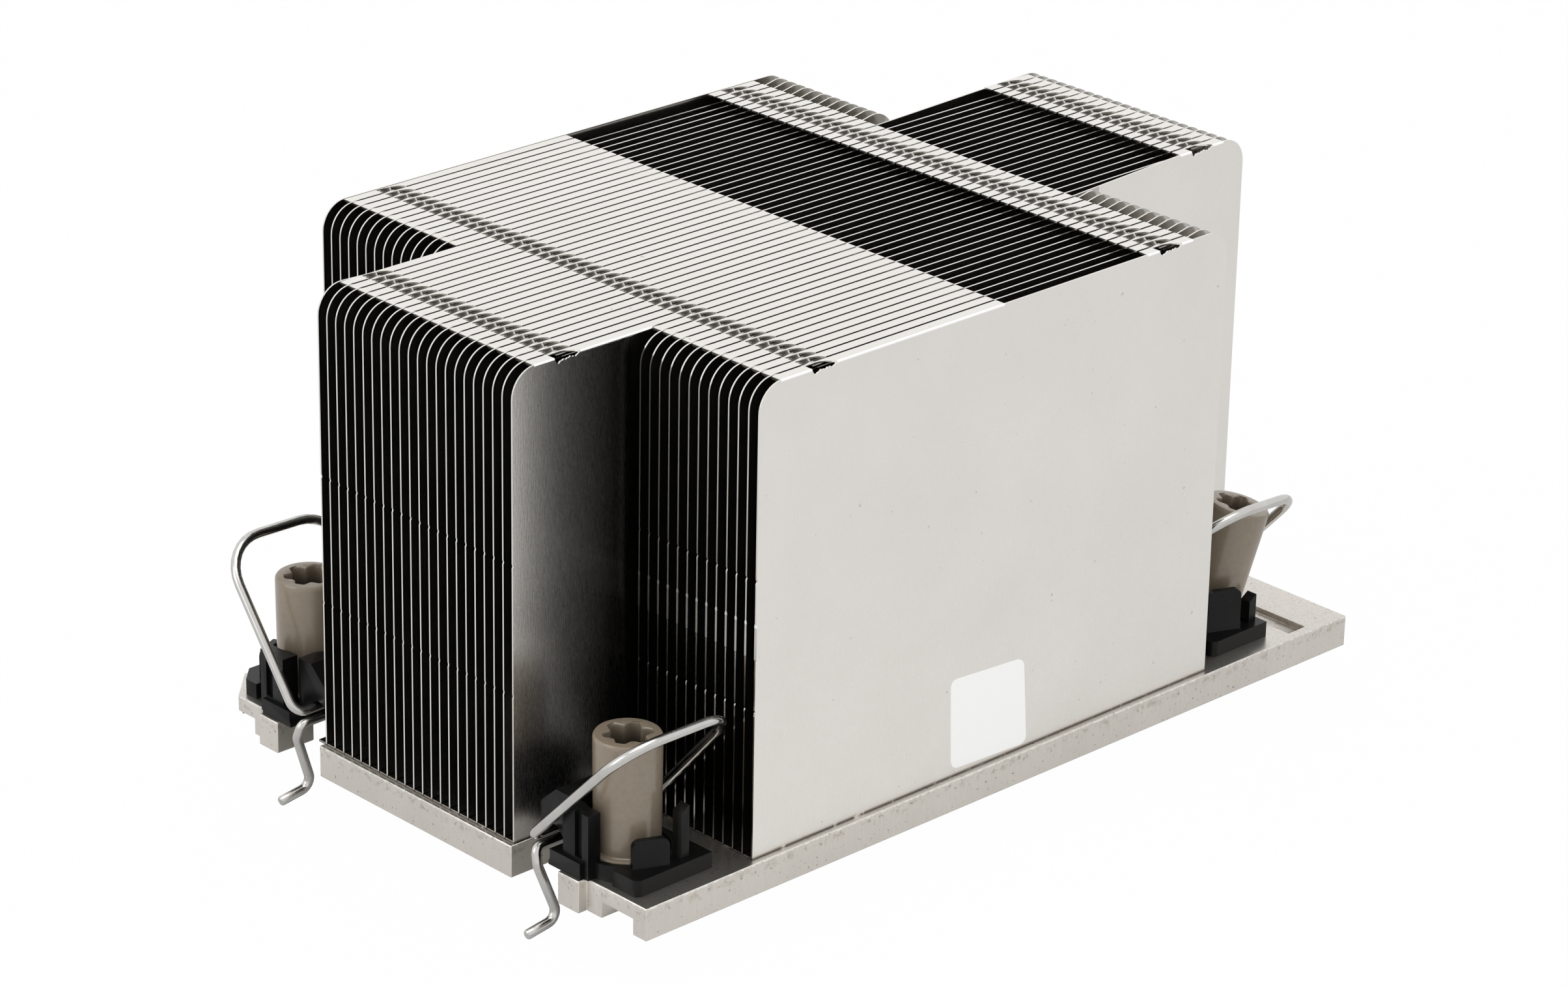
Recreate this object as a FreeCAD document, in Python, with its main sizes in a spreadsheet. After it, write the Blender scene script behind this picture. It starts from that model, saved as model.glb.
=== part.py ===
"""Passive server processor heatsink: a plus-shaped stack of folded zipper fins on a flat
plated base, with a captive nut, a plastic retainer and an anti-tilt wire at each corner.

Frame: origin in the middle of the base's contact face, X across the fins, Y along them,
+Z up, millimetres. The front is -Y.
"""
import FreeCAD, Part
import math
import os

import Sketcher

V = FreeCAD.Vector

# Driving dimensions. Every size below follows from this sheet. A text is a formula over the
# other sizes, for what keeps its place beside another piece.
SIZES = {
    # fin stack
    "pitch": 1.6,
    "centre_count": 22,
    "wing_count": 13,
    "sheet_thick": 0.25,
    "stack_top": 61.4,
    "front_overhang": 0.55,
    "back_overhang": 0.75,
    "centre_front": "=base_length / 2 + front_overhang",
    "centre_back": "=base_length / 2 + back_overhang",
    "wing_gap_front": 10.5,
    "wing_gap_back": 8.8,
    "wing_front": "=-nut_front - wing_gap_front",
    "wing_back": "=nut_back - wing_gap_back",
    "fin_corner": 3.4,
    "corner_steps": 2,
    "foot_width": 1.25,
    # folded top edge and the rows of zipper tabs
    "open_start": -3.9,
    "zip_inset": 9.6,
    "centre_zip_inset": 7.8,
    "wing_zip_front": "=zip_inset - wing_front - 0.1",
    "wing_zip_back": "=wing_back - zip_inset - 0.3",
    "centre_zip_front": "=centre_zip_inset - centre_front + 0.2",
    "centre_zip_back": "=centre_back - centre_zip_inset + 0.2",
    "zip_length": 3.7,
    "zip_band": 7.8,
    "tab_length": 2.8,
    "tab_drop": 1.0,
    "notch_depth": 1.0,
    # base, as wide as the fin stack
    "base_thick": 4.0,
    "base_width": "=pitch * (centre_count + 2 * wing_count + 0.25)",
    "base_length": 117.3,
    "tongue_width": "=pitch * (centre_count - 0.5)",
    "tongue_length": 1.25,
    "tongue_front": "=base_length / 2 + tongue_length",
    "ear_gap": 3.15,
    "ear_inner": "=nut_across - ear_gap",
    "block_width": 3.5,
    "bay_gap": 0.2,
    "bay_length": "=bail_near + bay_gap",
    "bay_front": "=-nut_front - bay_length",
    "window_front": "=nut_back - bay_length",
    "window_back": "=window_front + 16",
    "index_cut": 4.35,
    "rib_width": 2.2,
    "channel_width": 5.2,
    "channel_inner": "=base_width / 2 - rib_width - channel_width",
    "channel_depth": 2.0,
    "slot_length": 8.3,
    "slot_width": 3.0,
    "slot_depth": 0.8,
    "slot_start": "=base_width / 2 - 1.3 - slot_length",
    "slot_front": "=nut_back + bail_far - slot_width + 0.8",
    # captive nuts
    "nut_inset": 10.25,
    "nut_front_inset": 6.35,
    "nut_back_inset": 16.35,
    "nut_across": "=base_width / 2 - nut_inset",
    "nut_front": "=nut_front_inset - base_length / 2",
    "nut_back": "=base_length / 2 - nut_back_inset",
    "nut_radius": 4.0,
    "nut_height": 15.1,
    "nut_seat": 4.85,
    "nut_flange": 4.6,
    "nut_lip": 1.2,
    "nut_spigot": 2.9,
    "nut_thread": 1.75,
    "nut_lean": 14.5,
    "nut_sides": 16,
    "socket_core": 2.0,
    "socket_lobe": 0.75,
    "socket_depth": 8.0,
    "base_hole": 3.8,
    # retainers
    "clip_floor": 2.0,
    "clip_outer": 7.65,
    "clip_half": 5.4,
    "clip_far": 5.9,
    "clip_far_short": 4.3,
    "clip_bore": 5.0,
    "clip_rim": 5.75,
    "post_height": 12.0,
    "bearing_height": 12.1,
    "ring_sides": 18,
    # anti-tilt wires
    "wire_radius": 0.6,
    "pivot_offset": 7.35,
    "pivot_height": 5.35,
    "bail_over": 8.1,
    "bail_reach": "=nut_height + bail_over",
    "bail_set": 1.15,
    "bail_rise": 1.5,
    "bail_near": 8.1,
    "bail_near_top": 7.4,
    "bail_far": 9.3,
    "bail_bend": 5.4,
    "foot_bend": 1.6,
    "foot_length": 5.5,
    "hook_drop": 9.2,
    "hook_toe": 1.7,
    "hook_heel": 3.2,
    "hook_out": 1.25,
    "hook_dip": 0.7,
    "hook_bend": 1.35,
    "shank_bend": 1.0,
    "shank_height": 2.0,
    "bend_steps": 4,
    "wire_sides": 8,
}

doc = FreeCAD.newDocument("heatsink")
sheet = doc.addObject("Spreadsheet::Sheet", "params")
for row, alias in enumerate(SIZES, start=1):
    sheet.set("A%d" % row, alias)
    sheet.setAlias("B%d" % row, alias)
for row, value in enumerate(SIZES.values(), start=1):
    sheet.set("B%d" % row, str(value))
doc.recompute()


def size(alias):
    """One driving dimension, read back from the sheet."""
    return float(sheet.get(alias))


def bound(text):
    """An expression over the sheet's aliases, ready for setExpression."""
    words = []
    word = ""
    for char in text + " ":
        if char.isalnum() or char == "_":
            word += char
            continue
        if word:
            words.append("params." + word if word in SIZES else word)
            word = ""
        words.append(char)
    return "".join(words).strip()


def box(name, x0, x1, y0, y1, z0, z1):
    """A box between two corners; every side is an expression over the sheet."""
    solid = doc.addObject("Part::Box", name)
    solid.setExpression("Length", bound("(%s) - (%s)" % (x1, x0)))
    solid.setExpression("Width", bound("(%s) - (%s)" % (y1, y0)))
    solid.setExpression("Height", bound("(%s) - (%s)" % (z1, z0)))
    for axis, low in zip("xyz", (x0, y0, z0)):
        solid.setExpression("Placement.Base." + axis, bound("(%s)" % low))
    return solid


def fused(name, solids):
    if len(solids) == 1:
        return solids[0]
    joined = doc.addObject("Part::MultiFuse", name)
    joined.Shapes = solids
    joined.Refine = True
    return joined


def cut(name, body, tools):
    result = doc.addObject("Part::Cut", name)
    result.Base = body
    result.Tool = fused(name + "_tools", tools)
    result.Refine = True
    return result


def prism(outline, height):
    """A solid that stands on a flat outline and reaches along the height vector."""
    return Part.Face(Part.makePolygon(outline + outline[:1])).extrude(height)


def ring(radius, count, z, x=0, y=0):
    """The corners of a regular polygon in place of a circle."""
    turns = [2 * math.pi * index / count for index in range(count)]
    return [V(x + radius * math.cos(t), y + radius * math.sin(t), z) for t in turns]


def fin_plate(name, front, back, steps):
    """A fin's flat plate, its two upper corners rounded in a few straight steps."""
    thick, radius, top = size("sheet_thick"), size("fin_corner"), size("stack_top")
    left = -thick / 2
    outline = [V(left, size(back), size("base_thick"))]
    for centre, turn in ((size(back) - radius, 0), (radius - size(front), math.pi / 2)):
        for index in range(steps + 1):
            angle = turn + math.pi / 2 * index / steps
            outline.append(V(left, centre + radius * math.cos(angle),
                             top - radius + radius * math.sin(angle)))
    outline.append(V(left, -size(front), size("base_thick")))
    item = doc.addObject("Part::Feature", name)
    item.Shape = prism(outline, V(thick, 0, 0))
    return item


# Fin stack. Each fin is one strip: a plate, a foot folded along its lower edge, and a top
# edge folded over towards -X in stretches that meet the next fin. In a zipper row the fold
# is broken by a tab that sits a little lower.
WING_FOLDS = [
    ("-wing_front + fin_corner - 0.2", "wing_zip_front - zip_length / 2"),
    ("wing_zip_front + zip_length / 2", "open_start"),
    ("wing_zip_back - zip_band / 2", "wing_zip_back - zip_length / 2"),
    ("wing_zip_back + zip_length / 2", "wing_zip_back + zip_band / 2"),
]
CENTRE_FOLDS = [
    ("-centre_front + fin_corner - 0.2", "centre_zip_front - zip_length / 2"),
    ("centre_zip_front + zip_length / 2", "wing_zip_front - zip_length / 2"),
] + WING_FOLDS[1:] + [
    ("centre_zip_back - zip_band / 2", "centre_zip_back - zip_length / 2"),
    ("centre_zip_back + zip_length / 2", "centre_zip_back + zip_band / 2"),
]
WING_ZIPS = ["wing_zip_front", "wing_zip_back"]
CENTRE_ZIPS = ["centre_zip_front", "wing_zip_front", "wing_zip_back", "centre_zip_back"]


def fin_master(name, front, back, folds, zips, foot=True, notches=()):
    """One strip with its plate centred on x = 0; an outer plate has smoother corners."""
    steps = int(size("corner_steps")) * (1 if foot and not notches else 3)
    parts = [fin_plate(name + "_plate", front, back, steps)]
    left = "-sheet_thick / 2 - foot_width"
    right = "-sheet_thick / 2"
    for number, (start, end) in enumerate(folds):
        parts.append(box("%s_fold_%d" % (name, number), left, right, start, end,
                         "stack_top - sheet_thick", "stack_top"))
    for number, place in enumerate(zips):
        parts.append(box("%s_tab_%d" % (name, number), left, right,
                         place + " - tab_length / 2", place + " + tab_length / 2",
                         "stack_top - tab_drop - sheet_thick", "stack_top - tab_drop"))
    if foot:
        parts.append(box(name + "_foot", left, right, "-" + front, back,
                         "base_thick", "base_thick + sheet_thick"))
    strip = fused(name, parts)
    if notches:
        strip = cut(name + "_notched", strip, [
            box("%s_notch_%d" % (name, number), "-sheet_thick", "sheet_thick",
                place + " - zip_length / 2", place + " + zip_length / 2",
                "stack_top - notch_depth", "stack_top + 1")
            for number, place in enumerate(notches)])
    return strip


centre_fin = fin_master("centre_strip", "centre_front", "centre_back",
                        CENTRE_FOLDS, CENTRE_ZIPS)
centre_left = fin_master("centre_left_strip", "centre_front", "centre_back",
                         WING_FOLDS, WING_ZIPS, foot=False)
centre_right = fin_master("centre_right_strip", "centre_front", "centre_back",
                          CENTRE_FOLDS, CENTRE_ZIPS,
                          notches=("centre_zip_front", "centre_zip_back"))
wing_fin = fin_master("wing_strip", "wing_front", "wing_back", WING_FOLDS, WING_ZIPS)
wing_left = fin_master("wing_left_strip", "wing_front", "wing_back", [], [], foot=False)
wing_right = fin_master("wing_right_strip", "wing_front", "wing_back",
                        WING_FOLDS, WING_ZIPS, notches=WING_ZIPS)

nodes = []


def node(label, item):
    item.Label = label
    nodes.append(item)
    return item


def placed(label, master, x):
    """A fin node: the master strip moved to its place in the row."""
    item = doc.addObject("Part::Compound", label)
    item.Links = [master]
    item.setExpression("Placement.Base.x", bound(x))
    return node(label, item)


wing_count = int(size("wing_count"))
centre_count = int(size("centre_count"))
fin_total = centre_count + 2 * wing_count
for number in range(fin_total):
    in_centre = wing_count <= number < wing_count + centre_count
    if number == 0:
        master = wing_left
    elif number == wing_count:
        master = centre_left
    elif number == wing_count + centre_count - 1:
        master = centre_right
    elif number == fin_total - 1:
        master = wing_right
    else:
        master = centre_fin if in_centre else wing_fin
    shift = "pitch * (%d - (centre_count + 2 * wing_count - 1) / 2)" % number
    placed("%s_fin_%02d" % ("centre" if in_centre else "wing", number + 1), master, shift)


# Base: one flat slab with a tongue under the centre fins, open bays for the front wire hooks
# and windows for the rear ones, an ear at each corner, a foot rib along both sides and a
# clearance channel beside each rib.
def base_body():
    body = doc.addObject("PartDesign::Body", "base_slab")
    doc.recompute()
    plane = [f for f in body.Origin.OriginFeatures if f.Role == "XY_Plane"][0]

    def sketch(name, height):
        item = body.newObject("Sketcher::SketchObject", name)
        item.AttachmentSupport = (plane, [""])
        item.MapMode = "FlatFace"
        item.setExpression("AttachmentOffset.Base.z", bound(height))
        return item

    def polygon(item, corners):
        """A closed outline whose corners are held by expressions from the origin."""
        doc.recompute()
        first = item.GeometryCount
        places = [(evaluate(x), evaluate(y)) for x, y in corners]
        count = len(corners)
        for i in range(count):
            start, end = places[i], places[(i + 1) % count]
            item.addGeometry(Part.LineSegment(V(start[0], start[1], 0),
                                              V(end[0], end[1], 0)), False)
        for i in range(count):
            item.addConstraint(Sketcher.Constraint("Coincident", first + i, 2,
                                                   first + (i + 1) % count, 1))
        for i, (x, y) in enumerate(corners):
            for kind, value, text in (("DistanceX", places[i][0], x),
                                      ("DistanceY", places[i][1], y)):
                index = item.addConstraint(Sketcher.Constraint(kind, -1, 1, first + i, 1,
                                                               value))
                label = "%s_%d" % (kind, index)
                item.renameConstraint(index, label)
                item.setExpression("Constraints." + label, bound(text))

    half = "base_width / 2"
    end = "base_length / 2"
    inner = "ear_inner"
    step = "ear_inner + block_width"
    tongue = "tongue_width / 2"
    outline = sketch("slab_outline", "0")
    polygon(outline, [
        (tongue, "-tongue_front"), (tongue, "-bay_front"), (inner, "-bay_front"),
        (inner, "-tongue_front"), (step, "-tongue_front"), (step, "-" + end),
        (half, "-" + end), (half, end), ("-(%s)" % half, end),
        ("-(%s)" % half, "-(%s) + index_cut" % end),
        ("-(%s) + index_cut" % half, "-(%s)" % end),
        ("-(%s)" % step, "-(%s)" % end), ("-(%s)" % step, "-tongue_front"),
        ("-(%s)" % inner, "-tongue_front"), ("-(%s)" % inner, "-bay_front"),
        ("-(%s)" % tongue, "-bay_front"), ("-(%s)" % tongue, "-tongue_front"),
    ])
    slab = body.newObject("PartDesign::Pad", "slab")
    slab.Profile = outline
    slab.setExpression("Length", bound("base_thick"))
    doc.recompute()

    def pocket(name, profile, upwards, depth):
        before = body.Shape.Volume
        item = body.newObject("PartDesign::Pocket", name)
        item.Profile = profile
        item.setExpression("Length", bound(depth))
        item.Reversed = upwards
        doc.recompute()
        if body.Shape.Volume > before - 1:
            raise RuntimeError(name + " cuts nothing")
        return item

    channels = sketch("channel_outline", "0")
    for side in ("", "-"):
        near, far = side + "(channel_inner)", side + "(channel_inner + channel_width)"
        polygon(channels, [(near, "-tongue_front - 1"), (far, "-tongue_front - 1"),
                           (far, end + " + 1"), (near, end + " + 1")])
    pocket("channels", channels, True, "channel_depth")

    windows = sketch("window_outline", "0")
    for side in ("", "-"):
        near, far = side + "(tongue_width / 2)", side + "(ear_inner)"
        polygon(windows, [(near, "window_front"), (far, "window_front"),
                          (far, "window_back"), (near, "window_back")])
    pocket("windows", windows, True, "base_thick")

    slots = sketch("slot_outline", "base_thick")
    for side in ("", "-"):
        near, far = side + "(slot_start)", side + "(slot_start + slot_length)"
        polygon(slots, [(near, "slot_front"), (far, "slot_front"),
                        (far, "slot_front + slot_width"), (near, "slot_front + slot_width")])
    pocket("slots", slots, False, "slot_depth")

    holes = sketch("stud_holes", "0")
    doc.recompute()
    for side in (1, -1):
        for row in ("nut_front", "nut_back"):
            centre = V(side * size("nut_across"), size(row), 0)
            index = holes.addGeometry(Part.Circle(centre, V(0, 0, 1), size("base_hole")), False)
            sign = "" if side > 0 else "-"
            for kind, value, text in (
                    ("DistanceX", centre.x, sign + "nut_across"), ("DistanceY", centre.y, row)):
                place = holes.addConstraint(Sketcher.Constraint(kind, -1, 1, index, 3, value))
                label = "%s_%d" % (kind, place)
                holes.renameConstraint(place, label)
                holes.setExpression("Constraints." + label, bound(text))
            place = holes.addConstraint(Sketcher.Constraint("Radius", index, size("base_hole")))
            holes.renameConstraint(place, "hole_%d" % place)
            holes.setExpression("Constraints.hole_%d" % place, bound("base_hole"))
    pocket("stud_bores", holes, True, "base_thick")
    return body


def evaluate(text):
    """The present value of an expression over the sheet's aliases."""
    probe = doc.getObject("probe") or doc.addObject("App::FeaturePython", "probe")
    if "value" not in probe.PropertiesList:
        probe.addProperty("App::PropertyFloat", "value")
    probe.setExpression("value", bound(text))
    probe.recompute()
    return probe.value


node("base_plate", base_body())


# Captive nut: turned body with a flange at the foot, a six-lobed drive socket at the top and
# a threaded bore below it.
def turned(profile, sides):
    """A solid of revolution about Z from (radius, z) pairs, as flat facets."""
    rings = [ring(radius, sides, z) for radius, z in profile]
    faces = []
    for low, high in zip(rings, rings[1:]):
        for i in range(sides):
            j = (i + 1) % sides
            faces.append(Part.Face(Part.makePolygon([low[i], low[j], high[j], high[i],
                                                     low[i]])))
    for cap in (rings[0], rings[-1]):
        faces.append(Part.Face(Part.makePolygon(cap + cap[:1])))
    return Part.Solid(Part.Shell(faces)).removeSplitter()


def nut_solid(name):
    radius, height = size("nut_radius"), size("nut_height")
    flange, lip = size("nut_flange"), size("nut_lip")
    chamfer, spigot_length = 0.3, 0.7
    socket_floor = height - size("socket_depth")
    body = turned([
        (size("nut_spigot"), -spigot_length), (size("nut_spigot"), 0), (flange, 0),
        (flange, lip - chamfer), (flange - chamfer, lip), (radius - 0.15, lip),
        (radius, height - chamfer), (radius - chamfer, height),
    ], int(size("nut_sides")))
    lobes, per_lobe = 6, 5
    middle = size("socket_core") + size("socket_lobe") / 2
    outline = []
    for index in range(lobes * per_lobe):
        angle = 2 * math.pi * index / (lobes * per_lobe)
        reach = middle + size("socket_lobe") / 2 * math.cos(lobes * angle)
        outline.append(V(reach * math.cos(angle), reach * math.sin(angle), socket_floor))
    socket = prism(outline, V(0, 0, height))
    thread = Part.makeCylinder(size("nut_thread"), height, V(0, 0, -1))
    item = doc.addObject("Part::Feature", name)
    item.Shape = body.cut(socket).cut(thread).removeSplitter()
    return item


# side, row, retainer form and bail form at each corner
CORNERS = {
    "front_right": (1, "nut_front", "long", "even"),
    "front_left": (-1, "nut_front", "long_cut", "high"),
    "back_right": (1, "nut_back", "short", "skewed"),
    "back_left": (-1, "nut_back", "short", "high"),
}
# reach of the floor bar behind the nut, tops of the spring tab and the stop, corner cut
CLIP_FORMS = {
    "long": (size("clip_far"), 9.4, 12.3, 0),
    "long_cut": (size("clip_far"), 9.4, 12.3, 2.1),
    "short": (size("clip_far_short"), 11.4, 9.6, 0),
}
# lean in degrees, then the extra reach of the near leg and of the far leg in wire radii
BAIL_FORMS = {
    "even": (45.5, 0.5, 0),
    "high": (49.2, 0.5, 0),
    "skewed": (44.6, 3.7, -1.5),
}
# how far the leaning nut has slipped, in nut radii
LEAN_SHIFT = V(0.05, 0.225, 0.175)


def nut_place(corner):
    """Seat and turn of one nut; the one at the back right leans out in its retainer."""
    side, row = CORNERS[corner][:2]
    seat = V(side * size("nut_across"), size(row), size("nut_seat"))
    if corner != "back_right":
        return seat, FreeCAD.Rotation()
    shift = LEAN_SHIFT * size("nut_radius")
    return seat + shift, FreeCAD.Rotation(V(-0.85, 0.53, 0), size("nut_lean"))


for corner in CORNERS:
    nut = nut_solid("nut_" + corner)
    nut.Placement = FreeCAD.Placement(*nut_place(corner))
    node("captive_nut_" + corner, nut)


# Retainer: a floor plate with a round bore for the nut, a slotted post at the front end, a
# spring tab and a stop post on the outer bar, and a bearing block over the open bay for the
# wire's pivot.
def clip_solid(side, far, tab_top, stop_top, index_cut):
    """One retainer about its nut's axis, its slotted post towards -Y."""
    floor = size("base_thick")
    top = floor + size("clip_floor")
    half, outer = size("clip_half"), size("clip_outer")
    pivot = -size("pivot_offset")
    lift = size("pivot_height")
    post_top, block_top = size("post_height"), size("bearing_height")

    def block(u0, u1, v0, v1, z0, z1):
        return Part.makeBox(u1 - u0, v1 - v0, z1 - z0, V(u0, v0, z0))

    def upright(solid, radius, u, v):
        """Rounds the upright edge that stands nearest to (u, v)."""
        edges = [e for e in solid.Edges if abs(e.tangentAt(e.FirstParameter).z) > 0.99]
        nearest = min(edges, key=lambda e: (e.CenterOfMass.x - u) ** 2
                      + (e.CenterOfMass.y - v) ** 2)
        return solid.makeFillet(radius, [nearest])

    bar = upright(block(3.6, outer, -half, far, floor, top), 0.9, outer, -half)
    plate = bar.fuse(block(-3.6, outer - 1, -4.35, far, floor, top))
    plate = plate.fuse(round_bar(size("clip_rim"), floor, top))
    shoulder = block(-5.2, 0.1, -7.2, -half + 1, floor, top)
    post = block(-3.3, 0.95, -6.7, -half + 0.9, floor, post_top)
    post = post.cut(block(-1.3, -0.1, -8.0, -6.1, top + 0.3, post_top + 1))
    stop = block(5.1, 6.55, 2.2, 3.4, floor, stop_top)
    stop = stop.cut(prism([V(5, 2.1, stop_top - 0.8), V(5, 3.5, stop_top + 0.1),
                           V(5, 2.1, stop_top + 0.1)], V(2, 0, 0)))
    # bearing block, its upper edge bevelled on the side of the fins
    bearing = block(pivot - 1.6, -4.2, -5.0, 4.6, floor + 0.05, block_top)
    bearing = bearing.cut(prism([
        V(pivot - 1.7, -6, block_top - 2.3), V(pivot + 1.0, -6, block_top + 0.1),
        V(pivot - 1.7, -6, block_top + 0.1)], V(0, 12, 0)))
    bridge = block(pivot + 1.5, -2.6, -4.35, 4.35, floor, top)
    tab = block(-0.8, 0, -4.35, 0, 0, tab_top - top + 0.1)
    corners = [e for e in tab.Edges
               if abs(e.tangentAt(e.FirstParameter).x) > 0.9 and e.CenterOfMass.z > 3.0]
    tab = tab.makeFillet(0.9, corners)
    tab.rotate(V(0, 0, 0), V(0, 0, 1), -24)
    tab.translate(V(6.83, 0.24, top - 0.1))
    solid = plate.fuse([shoulder, post, stop, bearing, bridge, tab])
    solid = solid.cut(round_bar(size("clip_bore"), floor - 1, post_top + 1))
    running = size("wire_radius") + 0.08
    solid = solid.cut(Part.makeCylinder(running, 30, V(pivot, -15, lift), V(0, 1, 0)))
    # round recess in which the wire's upper foot swings
    sweep = size("bail_rise") + size("wire_radius") + 0.3
    solid = solid.cut(Part.makeCylinder(sweep, 8, V(pivot, -9.4, lift), V(0, 1, 0)))
    if index_cut > 0:
        solid = solid.cut(prism([
            V(outer - index_cut, -half, 0), V(outer - index_cut, -half - 3, 0),
            V(outer + 3, -half - 3, 0), V(outer + 3, -half + index_cut, 0),
            V(outer, -half + index_cut, 0)], V(0, 0, 20)))
    solid = solid.removeSplitter()
    return solid if side > 0 else solid.mirror(V(0, 0, 0), V(1, 0, 0))


def round_bar(radius, z0, z1):
    """An upright bar about the nut's axis, round but for its few flat sides."""
    return prism(ring(radius, int(size("ring_sides")), z0), V(0, 0, z1 - z0))


def nut_clearance(corner):
    """Room round a nut that leans, a little larger than the nut itself."""
    seat, turn = nut_place(corner)
    up = turn.multVec(V(0, 0, 1))
    room = Part.makeCylinder(size("nut_radius") + 0.25, 20, seat, up)
    return room.fuse(Part.makeCylinder(size("nut_flange") + 0.25, size("nut_lip") + 0.5,
                                       seat - up * 0.25, up))


clips = []
for corner, (side, row, clip_form, bail_form) in CORNERS.items():
    clip = clip_solid(side, *CLIP_FORMS[clip_form])
    clip.translate(V(side * size("nut_across"), size(row), 0))
    if corner == "back_right":
        clip = clip.cut(nut_clearance(corner))
    clips.append(clip)
retainers = doc.addObject("Part::Feature", "retainer_set")
retainers.Shape = Part.makeCompound(clips)
node("nut_retainers", retainers)


# Anti-tilt wire: one length of round wire. A toe and a hook below the base, a straight pivot
# through the bearing block, a bail that leans outwards round the nut, and an upper foot.
def bent_path(corners, radii):
    """Points along straight runs joined by arcs, each arc as equal chords."""
    steps = int(size("bend_steps"))
    points = [corners[0]]
    for before, corner, after, radius in zip(corners, corners[1:], corners[2:], radii):
        back = (before - corner).normalize()
        ahead = (after - corner).normalize()
        turn = math.pi - back.getAngle(ahead)
        inset = radius * math.tan(turn / 2)
        centre = corner + (back + ahead).normalize() * (radius / math.cos(turn / 2))
        start = corner + back * inset
        axis = (start - centre).cross(corner + ahead * inset - centre)
        count = max(2, int(round(steps * turn / (math.pi / 2) * min(1, 0.5 + radius / 8))))
        for index in range(count + 1):
            spin = FreeCAD.Rotation(axis, math.degrees(turn) * index / count)
            points.append(centre + spin.multVec(start - centre))
    points.append(corners[-1])
    return points


def wire_solid(side, bail_lean, near_extra, far_extra):
    """The wire about its nut's axis, its hook towards -Y and its bail leaning outwards."""
    pivot = -size("pivot_offset")
    lift = size("pivot_height")
    lean = math.radians(bail_lean)
    out = V(math.cos(lean), 0, math.sin(lean))
    near, far = size("bail_near"), size("bail_far")
    reach, wire = size("bail_reach"), size("wire_radius")
    foot, bend, hook = size("foot_bend"), size("bail_bend"), size("hook_bend")
    toe_z = lift - size("hook_drop")
    hook_x = pivot + size("hook_out")
    axis_low = V(pivot, 0, lift)
    axis_high = V(pivot, 0, lift + size("bail_rise"))
    plane = V(pivot - size("bail_set"), 0, lift + size("bail_set") / 2)
    corners = [
        V(hook_x, -near - size("hook_toe"), toe_z - size("hook_dip")),
        V(hook_x, -near + size("hook_heel"), toe_z),
        V(pivot + wire, -near + wire, lift - size("shank_height")),
        axis_low - V(0, near - 1.5 * wire, 0),
        axis_low + V(0, far, 0),
        plane + V(0, far, 0) + out * (reach + far_extra * wire),
        plane - V(0, size("bail_near_top"), 0) + out * (reach + near_extra * wire),
        axis_high - V(0, near, 0),
        axis_high - V(0, near - size("foot_length"), 0),
    ]
    radii = [hook, hook, size("shank_bend"), foot, bend, bend, foot]
    points = bent_path(corners, radii)
    path = Part.makePolygon(points)
    rim = ring(wire, int(size("wire_sides")), 0)
    section = Part.makePolygon(rim + rim[:1])
    section.Placement = FreeCAD.Placement(
        points[0], FreeCAD.Rotation(V(0, 0, 1), points[1] - points[0]))
    sweep = Part.BRepOffsetAPI.MakePipeShell(path)
    sweep.add(section)
    sweep.setTransitionMode(1)
    sweep.build()
    sweep.makeSolid()
    solid = sweep.shape()
    return solid if side > 0 else solid.mirror(V(0, 0, 0), V(1, 0, 0))


for corner, (side, row, clip_form, bail_form) in CORNERS.items():
    wire = doc.addObject("Part::Feature", "wire_" + corner)
    wire.Shape = wire_solid(side, *BAIL_FORMS[bail_form])
    wire.Placement = FreeCAD.Placement(V(side * size("nut_across"), size(row), 0),
                                       FreeCAD.Rotation())
    node("anti_tilt_wire_" + corner, wire)

doc.recompute()
for item in doc.Objects:
    if "Invalid" in item.State or "Error" in item.State:
        raise RuntimeError("failed: " + item.Label)
os.makedirs("parts", exist_ok=True)
for item in nodes:
    shape = item.Shape
    if shape.isNull() or not shape.isValid():
        raise RuntimeError("no valid shape: " + item.Label)
    shape.exportStep(os.path.join("parts", item.Label + ".step"))
    print(item.Label, len(shape.Solids), round(shape.Volume, 2))
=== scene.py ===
"""Studio scene of the passive server processor heatsink.

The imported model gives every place. The fins, nuts, wires, retainers and base are drawn finer
here: folded sheet with zipper tabs, turned nuts, bent wire. Lengths are millimetres until a
mesh is made, and then metres.
"""

import math

import bmesh
import bpy
import numpy as np
from mathutils import Matrix, Vector


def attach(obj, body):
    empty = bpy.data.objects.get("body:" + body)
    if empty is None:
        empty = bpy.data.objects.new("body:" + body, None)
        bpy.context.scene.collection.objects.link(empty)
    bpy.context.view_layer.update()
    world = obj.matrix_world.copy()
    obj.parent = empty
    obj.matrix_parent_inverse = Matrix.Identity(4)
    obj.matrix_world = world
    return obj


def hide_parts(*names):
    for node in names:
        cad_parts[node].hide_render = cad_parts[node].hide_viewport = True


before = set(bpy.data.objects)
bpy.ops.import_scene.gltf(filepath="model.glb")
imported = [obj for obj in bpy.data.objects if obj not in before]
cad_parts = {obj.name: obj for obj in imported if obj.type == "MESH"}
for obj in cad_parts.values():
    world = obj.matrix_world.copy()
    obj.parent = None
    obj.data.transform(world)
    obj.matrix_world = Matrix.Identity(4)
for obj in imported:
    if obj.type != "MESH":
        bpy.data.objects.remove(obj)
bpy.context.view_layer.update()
MM = 0.001
# points nearer than this, in metres, are one
MERGE = 1e-6

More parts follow.
